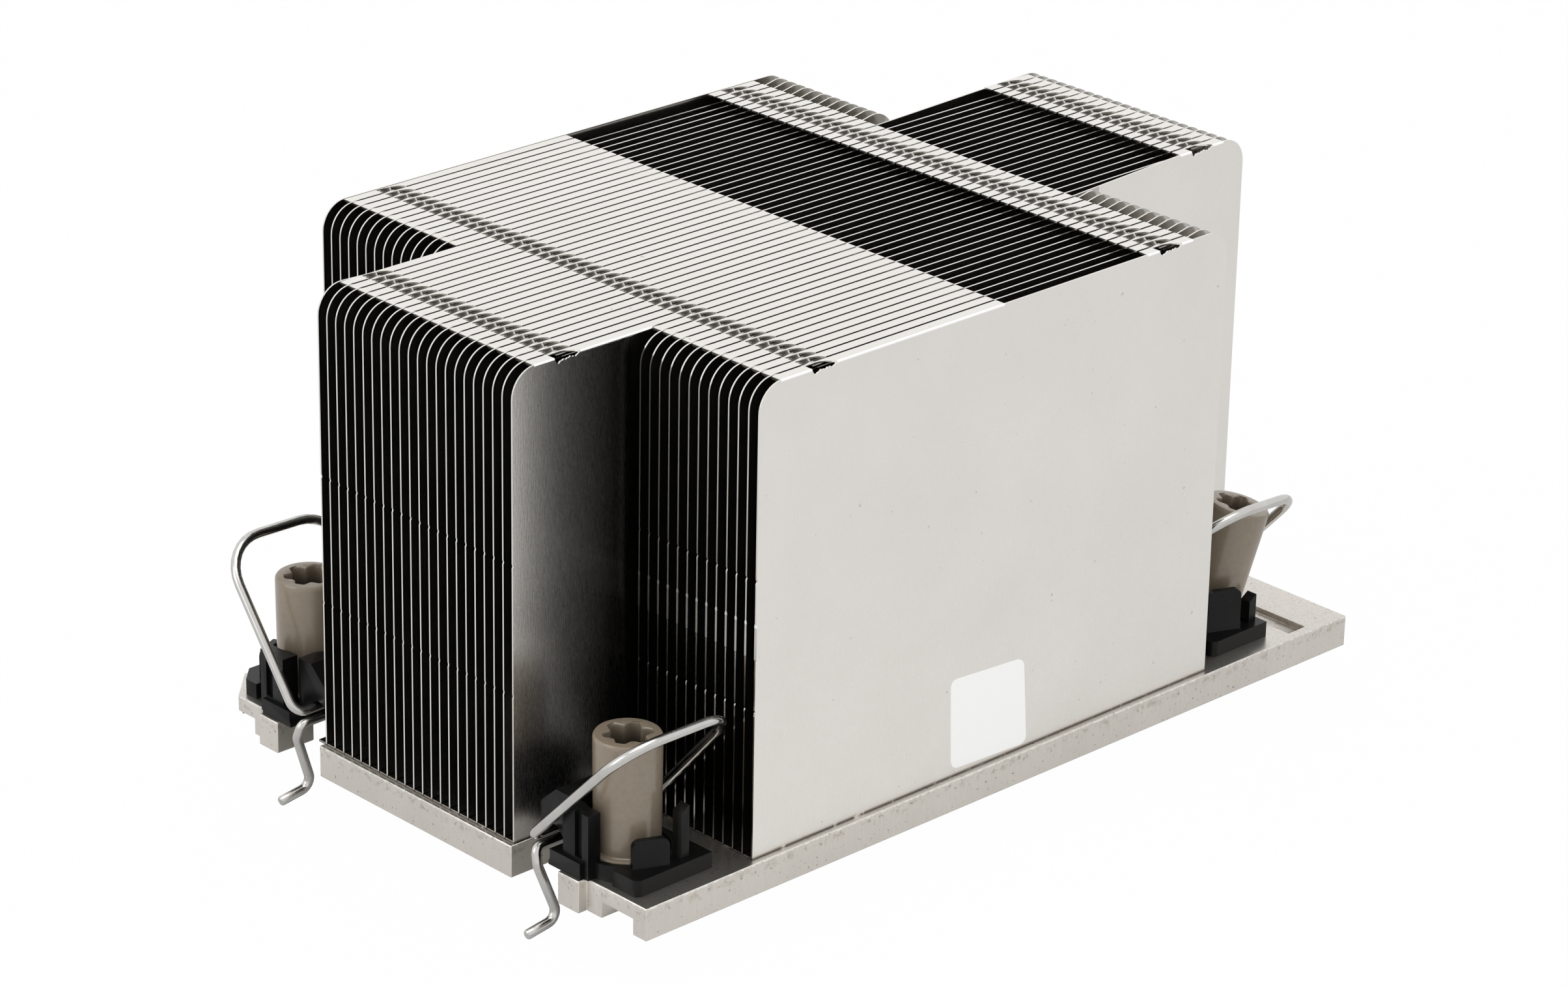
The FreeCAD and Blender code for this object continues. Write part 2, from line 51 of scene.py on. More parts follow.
# the fin stack, numbered from 1 at the left
PITCH = 1.6
FIN_TOTAL = 48
FIRST_CENTRE = 14
LAST_CENTRE = 35
HALF_SHEET = 0.1
STACK_TOP = 61.4
BASE_TOP = 4.0
FIN_CORNER = 3.4
CORNER_STEPS = 10
FOOT_THICK = 0.25
# front and back ends of the fins, the start of the open top, and the middles of the zippers
WING_ENDS = (-41.8, 33.5)
CENTRE_ENDS = (-59.2, 59.4)
OPEN_START = -3.9
WING_ZIPS = (-32.1, 23.6)
CENTRE_ZIPS = (-51.2, -32.1, 23.6, 51.8)
ZIP_HALF = 1.85
BAND_HALF = 3.9
SLOT_DEPTH = 0.9
# the folded top edge: its reach, bend and upright leg, and where it starts behind the front
FLANGE_REACH = 1.275
BEND = 0.12
BEND_STEPS = 5
LEG = 0.3
FOLD_INSET = FIN_CORNER - 0.25
# the arc that bounds a zipper's strip and leaf, from the zipper's front end
ARC_START = 0.7
ARC_LENGTH = 3.02
# dents in a fin's front edge as height and depth
FRONT_DENTS = ((38.1, 0.1), (22.2, 0.08))
# a wider stretch of a wing fin's front edge: heights, half widths, and painted light, which is
# painted shade above 0 and a painted glint at -1
EDGE_STRIP_HEIGHTS = (28.7, 28.85, 31.0, 32.6, 32.8, 33.1)
EDGE_STRIP_WIDTHS = (0.1, 0.15, 0.15, 0.14, 0.19, 0.11)
EDGE_STRIP_PAINTED_LIGHT = (0.9, 0.3, 0.25, 0.25, -1.0, -1.0)


# Meshes
def add_piece(name, verts, faces, material, body, stands_for=(), sharp=35, shade=None):
    """A mesh object at the origin from points in millimetres, riding on its body."""
    mesh = bpy.data.meshes.new(name)
    mesh.from_pydata((np.asarray(verts) * MM).tolist(), [], faces)
    mesh.validate()
    # the shade attribute is painted shade, and a painted highlight where it is negative
    if shade is not None:
        layer = mesh.attributes.new("shade", "FLOAT", "POINT")
        layer.data.foreach_set("value", np.asarray(shade, np.float32))
    shape = bmesh.new()
    shape.from_mesh(mesh)
    bmesh.ops.remove_doubles(shape, verts=shape.verts, dist=MERGE)
    bmesh.ops.dissolve_degenerate(shape, edges=shape.edges, dist=MERGE)
    bmesh.ops.recalc_face_normals(shape, faces=shape.faces)
    shape.to_mesh(mesh)
    shape.free()
    mesh.polygons.foreach_set("use_smooth", [True] * len(mesh.polygons))
    mesh.set_sharp_from_angle(angle=math.radians(sharp))
    mesh.materials.append(material)
    piece = bpy.data.objects.new(name, mesh)
    bpy.context.scene.collection.objects.link(piece)
    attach(piece, body)
    if stands_for:
        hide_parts(*stands_for)
    return piece


def joined(parts):
    """Several parts as one: points, faces with their numbers moved along, and the painted shade
    of each point, negative for a painted highlight, which is 0 unless the part gives it."""
    verts, faces, shades, start = [], [], [], 0
    for points, quads, *shade in parts:
        verts.append(points)
        faces += [[start + i for i in face] for face in quads]
        shades.append(shade[0] if shade else np.zeros(len(points)))
        start += len(points)
    return np.concatenate(verts), faces, np.concatenate(shades)


def grid_faces(rows, columns, wrap_rows=False, wrap_columns=False):
    """Quads over a rows by columns grid of points, closed round either way if asked."""
    r = np.arange(rows if wrap_rows else rows - 1)[:, None]
    c = np.arange(columns if wrap_columns else columns - 1)[None, :]
    r2, c2 = (r + 1) % rows, (c + 1) % columns
    quads = np.stack([r * columns + c, r * columns + c2, r2 * columns + c2, r2 * columns + c], -1)
    return quads.reshape(-1, 4).tolist()


def extruded(outline, x0, x1):
    """A flat slab: an outline of (y, z) points, swept along X from x0 to x1."""
    outline = np.asarray(outline, float)
    count = len(outline)
    sides = [np.column_stack([np.full(count, x), outline]) for x in (x0, x1)]
    faces = grid_faces(2, count, wrap_columns=True)
    faces += [list(range(count)), list(range(2 * count - 1, count - 1, -1))]
    return np.concatenate(sides), faces


def sheet_shell(grid, half):
    """A closed sheet about a surface grid (rows, columns, 3): each point goes both ways
    along the surface normal, which is the cross product of the grid's two slopes."""
    along = np.gradient(grid, axis=0)
    across = np.gradient(grid, axis=1)
    normal = np.cross(along, across)
    normal /= np.linalg.norm(normal, axis=-1, keepdims=True) + 1e-12
    rows, columns = grid.shape[:2]
    count = rows * columns
    points = np.concatenate([(grid + normal * half).reshape(-1, 3),
                             (grid - normal * half).reshape(-1, 3)])
    inside = grid_faces(rows, columns)
    faces = inside + [[count + i for i in reversed(face)] for face in inside]
    index = np.arange(count).reshape(rows, columns)
    rim = np.concatenate([index[0, :-1], index[:-1, -1], index[-1, :0:-1], index[:0:-1, 0]])
    after = np.roll(rim, -1)
    faces += np.column_stack([rim, rim + count, after + count, after]).tolist()
    return points, faces


def smooth(value):
    """A soft step: 0 below 0, 1 above 1, and level at both ends."""
    value = np.clip(value, 0, 1)
    return value * value * (3 - 2 * value)


def ramps(rows, columns):
    """Two ramps from 0 to 1, one down the rows of a grid and one across its columns."""
    return np.linspace(0, 1, rows)[:, None], np.linspace(0, 1, columns)[None, :]


# Folded edges
def flange_section(rounded):
    """Middle line of the folded top edge as (x, z). A rounded one is a short upright leg, a
    quarter-circle bend of radius BEND towards -X, then level to the free edge; a sharp one
    is only the level part."""
    sunk, straight = 0.01, 0.03
    top = STACK_TOP - HALF_SHEET
    tip = [[-HALF_SHEET - FLANGE_REACH, top]]
    if not rounded:
        return np.array([[-HALF_SHEET + sunk, top]] + tip)
    turn = np.linspace(0, math.pi / 2, BEND_STEPS)
    bend = np.column_stack([-BEND + BEND * np.cos(turn), top - BEND + BEND * np.sin(turn)])
    return np.concatenate([[[0.0, STACK_TOP - LEG]], bend, [[-BEND - straight, top]], tip])


def flange(x, start, end, rounded):
    """A straight run of folded edge from start to end along Y, with a painted highlight along a
    round bend.
    """
    section = flange_section(rounded)
    rows = np.array([start, end], float)
    grid = np.zeros((2, len(section), 3))
    grid[..., 0] = x + section[:, 0]
    grid[..., 1] = rows[:, None]
    grid[..., 2] = section[:, 1]
    points, faces = sheet_shell(grid, HALF_SHEET)
    # painted highlight: -1 along the round bend
    bright = np.zeros(len(section))
    bright[1:-2] = -1.0
    return points, faces, np.tile(bright, 4)


def flange_lip(x, start):
    """The cut front end of a folded run, a little rough: a thin face under the fold, darkened by
    painted shade.
    """
    inset, sunk, height = 0.12, 0.03, 0.29
    # tone is the painted shade of the cut end
    forward, lean, half, tone = 0.04, 0.05, 0.03, 0.35
    turn = np.linspace(0, 1, 3)[:, None]
    across = np.array([-HALF_SHEET - inset, -HALF_SHEET - FLANGE_REACH])[None, :]
    grid = np.zeros((3, 2, 3))
    grid[..., 0] = x + across
    grid[..., 1] = start - forward + lean * turn
    grid[..., 2] = STACK_TOP - sunk - height * turn
    points, faces = sheet_shell(grid, half)
    return points, faces, np.full(len(points), tone)


# Zippers
def lattice(x, place, near, far, along, z):
    """A sheet grid from side to side across a zipper: near and far are how far the two
    edges lie from the fin's right face towards -X, along is the place from the zipper's
    front end, and z is the drop below the stack's top."""
    along, z = np.broadcast_arrays(along, z)
    rows, columns = z.shape
    u = np.linspace(0, 1, columns)[None, :]
    grid = np.zeros((rows, columns, 3))
    grid[..., 0] = x + HALF_SHEET - (near + (far - near) * u)
    grid[..., 1] = place - ZIP_HALF + along
    grid[..., 2] = STACK_TOP - z
    return grid


def shaded_sheet(grid, half, dark):
    """A closed sheet over a grid, with the same painted shade on both its sides."""
    points, faces = sheet_shell(grid, half)
    return points, faces, np.tile(dark.ravel(), 2)


def zip_arc(y, reach):
    """How far the zipper's arc lies from the fin's right face: level up to ARC_START, then
    a quarter ellipse of length ARC_LENGTH."""
    past = np.maximum(y - ARC_START, 0) / ARC_LENGTH
    return reach * np.sqrt(np.clip(1 - past ** 2, 0, 1))


def zip_strip(x, place):
    """The strip that a zipper leaves at the free edge of the fold."""
    rows, reach, narrowest = 13, 1.36, 0.05
    y = np.linspace(0, 2 * ZIP_HALF, rows)[:, None]
    far = FLANGE_REACH + 2 * HALF_SHEET
    near = np.minimum(zip_arc(y, reach), far - narrowest)
    grid = lattice(x, place, near, far + 0 * y, y + np.zeros((1, 2)),
                   HALF_SHEET + np.zeros((rows, 2)))
    return sheet_shell(grid, HALF_SHEET)


def zip_patch(x, place):
    """The hooked patch in front: dished, its rear corner raised, with painted shade along its
    middle.
    """
    start, length, skew = 0.03, 1.7, 0.4
    inset, taper, reach = 0.05, 0.45, 1.34
    drop, dish_depth, corner_lift, half = 0.2, 0.24, 0.13, 0.06
    # painted shade along the middle and towards the far side
    tone, side_tone = 0.88, 0.1
    v, u = ramps(9, 9)
    y = start + length * v + skew * u * v
    near = inset + taper * v
    dish = dish_depth * np.sin(math.pi * v) * np.sin(math.pi * u)
    corner = corner_lift * smooth((v - 0.7) / 0.3) * smooth((u - 0.2) / 0.8)
    dark = tone * smooth((v - 0.15) * 5) * (1 - smooth((v - 0.85) * 7)) + side_tone * u
    grid = lattice(x, place, near, reach + 0 * v, y, drop + dish - corner)
    return shaded_sheet(grid, half, dark)


def zip_leaf(x, place):
    """The leaf behind the patch, bounded by the arc, in painted shade that is lighter along its
    middle.
    """
    start, length, reach, under = 1.3, 2.4, 1.4, 0.25
    drop, sag, rise, half = 0.36, 0.16, 0.12, 0.06
    # painted shade over the leaf, lighter along a ridge and at its free side
    ridge_place, ridge_width, ridge_tone = 0.55, 0.15, 0.3
    tone, free_tone = 0.97, 0.45
    v, u = ramps(15, 9)
    y = start + length * v + 0 * u
    ridge = np.exp(-((u - ridge_place) / ridge_width) ** 2)
    dark = tone - ridge_tone * ridge * (1 - v) - free_tone * smooth(0.6 - u + 0.4 * v)
    grid = lattice(x, place, -under + 0 * v, zip_arc(y[:, :1], reach), y,
                   drop + sag * np.sin(math.pi * u) - rise * v * v)
    return shaded_sheet(grid, half, np.clip(dark, 0, 1))


def zip_tongue(x, place):
    """The tongue of the next fin, level, ending on a slanted line, with painted shade along that
    line and at its rear.
    """
    start, length, under, half = 0.05, 1.75, 0.32, 0.07
    line_start, line_slope = 0.08, 0.3
    drop, bent = 0.1, 0.12
    # painted shade at the slanted end and at the rear
    end_tone, rear_tone, darkest = 0.97, 0.6, 0.95
    v, u = ramps(9, 9)
    y = start + length * v + 0 * u
    line = line_start + line_slope * y[:, :1]
    dark = (end_tone * smooth((u - 0.62) / 0.15)
            + rear_tone * smooth((v - 0.6) * 3) * smooth(u * 3))
    grid = lattice(x, place, -under + 0 * v, line, y, drop + bent * smooth((u - 0.6) / 0.4))
    return shaded_sheet(grid, half, np.clip(dark, 0, darkest))


def zip_pip(x, place):
    """The little round lock at the front of the hooked patch: a dimple with a rim, dark inside
    with painted shade.
    """
    sides, inset, start = 10, 0.62, 0.35
    radii = (0.2, 0.17, 0.12, 0.04)
    heights = (-0.2, -0.03, -0.02, -0.08)
    # painted shade, deepest in the middle of the dimple
    shades = (0.1, 0.25, 0.98, 1.0)
    angle = np.linspace(0, 2 * math.pi, sides, endpoint=False)[None, :]
    radius, height = np.array(radii)[:, None], np.array(heights)[:, None]
    points = np.stack([x - inset + radius * np.cos(angle),
                       place - ZIP_HALF + start + radius * np.sin(angle),
                       STACK_TOP + height + 0 * angle], -1)
    rings = len(radii)
    faces = grid_faces(rings, sides, wrap_columns=True)
    faces += [list(range(sides)), list(range((rings - 1) * sides, rings * sides))]
    return points.reshape(-1, 3), faces, np.repeat(shades, sides)


# Fins
def exposed(number, place):
    """Whether a fin's right face has no neighbour at this place along Y."""
    if number == LAST_CENTRE:
        return not WING_ENDS[0] < place < WING_ENDS[1]
    return number == FIN_TOTAL


def place_phase(value):
    """A steady number from a place, so that no two torn notches are alike."""
    return 1.7 * value % 6.28


def torn_edge(end):
    """The ragged upper edge of an open notch as (y, z), from its back end forwards."""
    coarse, fine = 0.07, 0.06
    shallow, middle, deep, closing = 0.12, 0.3, 0.25, 0.8
    t = np.linspace(0, 1, 25)
    ragged = coarse * np.sin(19.0 * t + place_phase(end)) + fine * np.sin(47.0 * t)
    depth = shallow + middle * smooth(t / 0.08) + deep * smooth((t - 0.5) / 0.4)
    depth = (depth + ragged) * (1 - closing * smooth((t - 0.93) / 0.07))
    return list(zip(end - 2 * ZIP_HALF * t, STACK_TOP - depth))


def plate_outline(number, ends, folds, zips):
    """Outline of a fin's plate as (y, z): straight sides, round upper corners, a top edge
    with a slot at each zipper, and small dents in the front edge. Where the plate is
    exposed, the top edge stays under the bend of each folded run and is torn open at each
    notch."""
    slant = 0.01
    dent_top, dent_dip, dent_lip, dent_foot, lip_reach = 0.45, 0.12, 0.15, 0.5, 0.02
    front, back = ends
    arc = np.linspace(0, math.pi / 2, CORNER_STEPS)
    top = STACK_TOP
    low = top - LEG
    points = [(back, BASE_TOP)]
    points += list(zip(back - FIN_CORNER + FIN_CORNER * np.cos(arc),
                       top - FIN_CORNER + FIN_CORNER * np.sin(arc)))
    marks = [(end, start, "fold") for start, end in folds]
    marks += [(place + ZIP_HALF, place - ZIP_HALF,
               "torn" if exposed(number, place) else "slot") for place in zips]
    for end, start, kind in sorted(marks, key=lambda mark: -mark[0]):
        if kind == "torn":
            points += torn_edge(end)
        elif kind == "slot":
            points += [(end, top - SLOT_DEPTH), (start, top - SLOT_DEPTH)]
        elif exposed(number, (start + end) / 2):
            points += [(end, top), (end - slant, low), (start + slant, low), (start, top)]
    if exposed(number, front):
        arc = np.linspace(math.asin(1 - FOLD_INSET / FIN_CORNER), math.pi / 2, CORNER_STEPS)
    points += list(zip(front + FIN_CORNER - FIN_CORNER * np.sin(arc),
                       top - FIN_CORNER + FIN_CORNER * np.cos(arc)))
    for height, dent in FRONT_DENTS:
        points += [(front, height + dent_top), (front + dent, height + dent_dip),
                   (front - lip_reach, height - dent_lip), (front, height - dent_foot)]
    points.append((front, BASE_TOP))
    return points


def runs(start, end, zips):
    """The folded runs between start and end, broken by each zipper and where a wing
    begins beside a long fin."""
    breaks = [(place - ZIP_HALF, place + ZIP_HALF) for place in zips]
    wing = WING_ENDS[0] + FOLD_INSET
    if start < wing < end:
        breaks.append((wing, wing))
    edges = [start, *(edge for pair in sorted(breaks) for edge in pair), end]
    return list(zip(edges[::2], edges[1::2]))


def fold_runs(ends, zips):
    """All the folded runs of a fin: closed up to OPEN_START, then short bands round each
    zipper."""
    front = ends[0] + FOLD_INSET
    before = [place for place in zips if place < OPEN_START]
    found = runs(front, OPEN_START, before)
    for place in zips:
        if place > OPEN_START:
            found += runs(place - BAND_HALF, place + BAND_HALF, [place])
    return found


def edge_strip_painted_light(x, front):
    """A stretch of a wing fin's front edge, a little wider, with painted shade below and a painted
    glint at its upper end.
    """
    depth, half = 0.05, 0.06
    grid = np.zeros((len(EDGE_STRIP_HEIGHTS), 2, 3))
    grid[..., 0] = x + np.array(EDGE_STRIP_WIDTHS)[:, None] * np.array([[-1, 1]])
    grid[..., 1] = front + depth
    grid[..., 2] = np.array(EDGE_STRIP_HEIGHTS)[:, None]
    points, faces = sheet_shell(grid, half)
    return points, faces, np.tile(np.repeat(EDGE_STRIP_PAINTED_LIGHT, 2), 2)


def front_painted_shade(points, front):
    """Painted shade on an inner wing fin's plate: its front edge darkens downwards."""
    tone, top, span, depth = 0.15, 50, 20, 0.3
    return tone * smooth((top - points[:, 2]) / span) * (points[:, 1] < front + depth)


def fin_parts(number, x, centre):
    """The parts of one fin: plate, widened edge strip with painted light, folded runs, zipper
    forms and foot.
    """
    ends = CENTRE_ENDS if centre else WING_ENDS
    wing_form = not centre or number == FIRST_CENTRE
    zips = WING_ZIPS if wing_form else CENTRE_ZIPS
    plain = number == 1
    folds = [] if plain else fold_runs(WING_ENDS if wing_form else ends, zips)
    outline = plate_outline(number, ends, folds, () if plain else zips)
    points, faces = extruded(outline, x - HALF_SHEET, x + HALF_SHEET)
    if centre or number in (1, FIN_TOTAL):
        parts = [(points, faces)]
    else:
        parts = [(points, faces, front_painted_shade(points, ends[0]))]
    if not centre:
        parts.append(edge_strip_painted_light(x, ends[0]))
    parts += [flange(x, start, end, exposed(number, (start + end) / 2))
              for start, end in folds]
    if plain:
        return parts
    parts.append(flange_lip(x, folds[0][0]))
    for place in zips:
        parts.append(zip_strip(x, place))
        if not exposed(number, place):
            parts += [form(x, place) for form in (zip_patch, zip_leaf, zip_tongue, zip_pip)]
    foot = [(ends[0], BASE_TOP), (ends[1], BASE_TOP),
            (ends[1], BASE_TOP + FOOT_THICK), (ends[0], BASE_TOP + FOOT_THICK)]
    parts.append(extruded(foot, x - HALF_SHEET - FLANGE_REACH, x - HALF_SHEET))
    return parts


def split_at_wings(mesh):
    """Cuts a long outer fin's faces where the wing beside it begins and ends."""
    shape = bmesh.new()
    shape.from_mesh(mesh)
    for place in WING_ENDS:
        bmesh.ops.bisect_plane(shape, geom=[*shape.verts, *shape.edges, *shape.faces],
                               plane_co=(0, place * MM, 0), plane_no=(0, 1, 0))
    shape.to_mesh(mesh)
    shape.free()


def paint_plate(mesh, number):
    """Gives the large side faces of a fin the channel finish, darkened as painted shade between
    the fins, and those that face outwards with no neighbour the skin finish."""
    steep, large = 0.9, 1e-4
    count = len(mesh.polygons)
    facing, middle, area = np.zeros(count * 3), np.zeros(count * 3), np.zeros(count)
    mesh.polygons.foreach_get("normal", facing)
    mesh.polygons.foreach_get("center", middle)
    mesh.polygons.foreach_get("area", area)
    outward = {1: -1, FIRST_CENTRE: -1, LAST_CENTRE: 1, FIN_TOTAL: 1}.get(number, 0)
    side = (np.abs(facing[::3]) > steep) & (area > large)
    outer = side & (facing[::3] * outward > 0)
    if number in (FIRST_CENTRE, LAST_CENTRE):
        along = middle[1::3] / MM
        outer &= (along < WING_ENDS[0]) | (along > WING_ENDS[1])
    mesh.polygons.foreach_set("material_index", np.where(outer, 1, np.where(side, 2, 0)))


def fin(number, material, skin, channel):
    """One fin in the shape of its CAD node."""
    centre = FIRST_CENTRE <= number <= LAST_CENTRE
    x = PITCH * (number - 1 - (FIN_TOTAL - 1) / 2)
    name = "%s_fin_%02d" % ("centre" if centre else "wing", number)
    verts, faces, shade = joined(fin_parts(number, x, centre))
    piece = add_piece("folded_" + name, verts, faces, material, "heatsink",
                      (name,), 30, shade)
    piece.data.materials.append(skin)
    piece.data.materials.append(channel)
    if number in (FIRST_CENTRE, LAST_CENTRE):
        split_at_wings(piece.data)
    paint_plate(piece.data, number)
    return piece


# Nuts
NUT_ACROSS, NUT_FRONT, NUT_BACK, NUT_SEAT = 28.35, -52.3, 42.3, 4.85
CORNERS = {
    "front_right": (1, NUT_FRONT),
    "front_left": (-1, NUT_FRONT),
    "back_right": (1, NUT_BACK),
    "back_left": (-1, NUT_BACK),
}
NUT_SIDES = 96
# outside of a nut as radius and height, from its bore round the foot to the socket's rim
NUT_PROFILE = (
    (1.75, -0.7), (2.75, -0.7), (2.9, -0.55), (2.9, -0.02), (4.45, 0.0), (4.6, 0.12),
    (4.6, 0.95), (4.5, 1.12), (4.3, 1.2), (3.98, 1.2), (3.86, 1.32), (3.88, 3.0),
    (3.97, 14.5), (3.94, 14.85), (3.8, 15.05), (3.6, 15.1), (2.95, 15.1))
SOCKET_LOBES, SOCKET_RADIUS, LOBE_DEPTH = 6, 2.5, 0.48
# rings down the socket's wall: extra radius, height and painted shade
SOCKET_RINGS = ((0.26, 15.09, 0.0), (0.1, 15.0, 0.1), (0.0, 14.8, 0.2), (0.0, 12.6, 0.75),
                (0.0, 10.0, 0.97), (0.0, 7.15, 1.0))
# rings at the socket's floor and the top of the threaded bore: radius and height
BORE_RINGS = ((1.85, 7.1), (1.75, 7.0))
# how the back right nut leans out in its retainer: axis, degrees and shift
LEAN_AXIS, LEAN, LEAN_SHIFT = (-0.85, 0.53, 0), 14.5, (0.2, 0.9, 0.7)


def nut_surface():
    """A closed turned surface: the profile outside, the lobed socket and the bore inside.
    The painted shade of each ring of points grows with the depth inside."""
    angle = np.linspace(0, 2 * math.pi, NUT_SIDES, endpoint=False)
    lobed = SOCKET_RADIUS + LOBE_DEPTH * np.cos(SOCKET_LOBES * angle)
    rings = [(np.full(NUT_SIDES, r), z, 0.0) for r, z in NUT_PROFILE]
    rings += [(lobed + grow, z, dark) for grow, z, dark in SOCKET_RINGS]
    rings += [(np.full(NUT_SIDES, r), z, 1.0) for r, z in BORE_RINGS]
    radius = np.array([ring[0] for ring in rings])
    height = np.array([np.full(NUT_SIDES, ring[1]) for ring in rings])
    points = np.stack([radius * np.cos(angle), radius * np.sin(angle), height], -1)
    faces = grid_faces(len(rings), NUT_SIDES, True, True)
    return points.reshape(-1, 3), faces, np.repeat([ring[2] for ring in rings], NUT_SIDES)


def nut(corner, material):
    """A captive nut in its retainer."""
    side, row = CORNERS[corner]
    verts, faces, shade = nut_surface()
    seat = np.array([side * NUT_ACROSS, row, NUT_SEAT])
    if corner == "back_right":
        turn = Matrix.Rotation(math.radians(LEAN), 3, Vector(LEAN_AXIS).normalized())
        verts = verts @ np.array(turn).T
        seat = seat + np.array(LEAN_SHIFT)
    return add_piece("turned_nut_" + corner, verts + seat, faces, material, "nut_" + corner,
                     ("captive_nut_" + corner,), 32, shade)


# Wires
WIRE = 0.6
WIRE_SIDES = 16
ARC_STEPS = 9
DOME_RINGS = 3
# lean in degrees, then the extra reach of the near leg and of the far leg in wire radii
BAILS = {
    "front_right": (45.5, 0.5, 0.0),
    "front_left": (49.2, 0.5, 0.0),
    "back_right": (44.6, 3.7, -1.5),
    "back_left": (49.2, 0.5, 0.0),
}
# places of the wire about its nut's axis
PIVOT, LIFT = -7.35, 5.35
BAIL_NEAR, BAIL_NEAR_TOP, BAIL_FAR, BAIL_REACH = 8.1, 7.4, 9.3, 23.2
BAIL_RISE, BAIL_SET, BAIL_SET_RISE = 1.5, 1.15, 0.575
FOOT_LENGTH, SHANK_DROP, SHANK_INSET, PIVOT_INSET = 5.5, 2.0, 0.6, 0.9
HOOK_OUT, HOOK_TOE, HOOK_HEEL, TOE_HEIGHT, HEEL_HEIGHT = 1.25, 1.7, 3.2, -4.55, -3.85
WIRE_BENDS = (1.35, 1.35, 1.0, 1.6, 5.4, 5.4, 1.6)


def rounded_path(corners, radii):
    """Points along straight runs joined by circular arcs that touch both runs."""
    points = [corners[:1]]
    for before, corner, after, radius in zip(corners, corners[1:], corners[2:], radii):
        back = (before - corner) / np.linalg.norm(before - corner)
        ahead = (after - corner) / np.linalg.norm(after - corner)
        half = (math.pi - math.acos(np.clip(back @ ahead, -1, 1))) / 2
        middle = (back + ahead) / np.linalg.norm(back + ahead)
        centre = corner + middle * radius / math.cos(half)
        side = (ahead - back) / np.linalg.norm(ahead - back)
        angle = np.linspace(-half, half, ARC_STEPS)[:, None]
        points.append(centre + radius * (side * np.sin(angle) - middle * np.cos(angle)))
    points.append(corners[-1:])
    return np.concatenate(points)


def tube(path, radius, reference):
    """A round bar along a path, with domed ends that stop where the path does. Each ring
    stands across the path's slope, turned to a steady reference direction that the slope
    never meets."""
    shortest, flatness, tip = 1e-4, 0.5, 0.03
    gap = np.linalg.norm(np.diff(path, axis=0), axis=1)
    path = path[np.concatenate([[True], gap > shortest])]
    slope = np.gradient(path, axis=0)
    slope /= np.linalg.norm(slope, axis=1, keepdims=True)
    dome = np.linspace(0, math.pi / 2, DOME_RINGS + 1)[:-1]
    path[0] = path[0] + slope[0] * radius * flatness
    path[-1] = path[-1] - slope[-1] * radius * flatness
    head = path[0] - slope[0] * (radius * flatness * np.cos(dome))[:, None]
    tail = path[-1] + slope[-1] * (radius * flatness * np.cos(dome[::-1]))[:, None]
    swell = np.maximum(np.sin(dome), tip)
    size = np.concatenate([swell, np.ones(len(path)), swell[::-1]]) * radius
    centre = np.concatenate([head, path, tail])
    slope = np.concatenate([np.repeat(slope[:1], DOME_RINGS, 0), slope,
                            np.repeat(slope[-1:], DOME_RINGS, 0)])
    one = np.cross(slope, reference)
    one /= np.linalg.norm(one, axis=1, keepdims=True)
    two = np.cross(slope, one)
    angle = np.linspace(0, 2 * math.pi, WIRE_SIDES, endpoint=False)
    rim = one[:, None] * np.cos(angle)[:, None] + two[:, None] * np.sin(angle)[:, None]
    points = centre[:, None] + rim * size[:, None, None]
    count = len(centre)
    faces = grid_faces(count, WIRE_SIDES, wrap_columns=True)
    faces += [list(range(WIRE_SIDES)),
              list(range((count - 1) * WIRE_SIDES, count * WIRE_SIDES))]
    return points.reshape(-1, 3), faces


def wire(corner, material):
    """Anti-tilt wire: toe and hook below the base, pivot, leaning bail, upper foot."""
    side, row = CORNERS[corner]
    lean, near_extra, far_extra = BAILS[corner]
    out = np.array([math.cos(math.radians(lean)), 0, math.sin(math.radians(lean))])
    up = np.array([-out[2], 0, out[0]])
    low = np.array([PIVOT, 0, LIFT])
    high = np.array([PIVOT, 0, LIFT + BAIL_RISE])
    plane = np.array([PIVOT - BAIL_SET, 0, LIFT + BAIL_SET_RISE])
    across = np.array([0, 1.0, 0])
    corners = np.array([
        (PIVOT + HOOK_OUT, -BAIL_NEAR - HOOK_TOE, TOE_HEIGHT),
        (PIVOT + HOOK_OUT, -BAIL_NEAR + HOOK_HEEL, HEEL_HEIGHT),
        (PIVOT + SHANK_INSET, -BAIL_NEAR + SHANK_INSET, LIFT - SHANK_DROP),
        low - across * (BAIL_NEAR - PIVOT_INSET),
        low + across * BAIL_FAR,
        plane + across * BAIL_FAR + out * (BAIL_REACH + far_extra * WIRE),
        plane - across * BAIL_NEAR_TOP + out * (BAIL_REACH + near_extra * WIRE),
        high - across * BAIL_NEAR,
        high - across * (BAIL_NEAR - FOOT_LENGTH)])
    verts, faces = tube(rounded_path(corners, WIRE_BENDS), WIRE, up)
    verts = verts * np.array([side, 1, 1]) + np.array([side * NUT_ACROSS, row, 0])
    return add_piece("bent_wire_" + corner, verts, faces, material, "wire_" + corner,
                     ("anti_tilt_wire_" + corner,), 60)


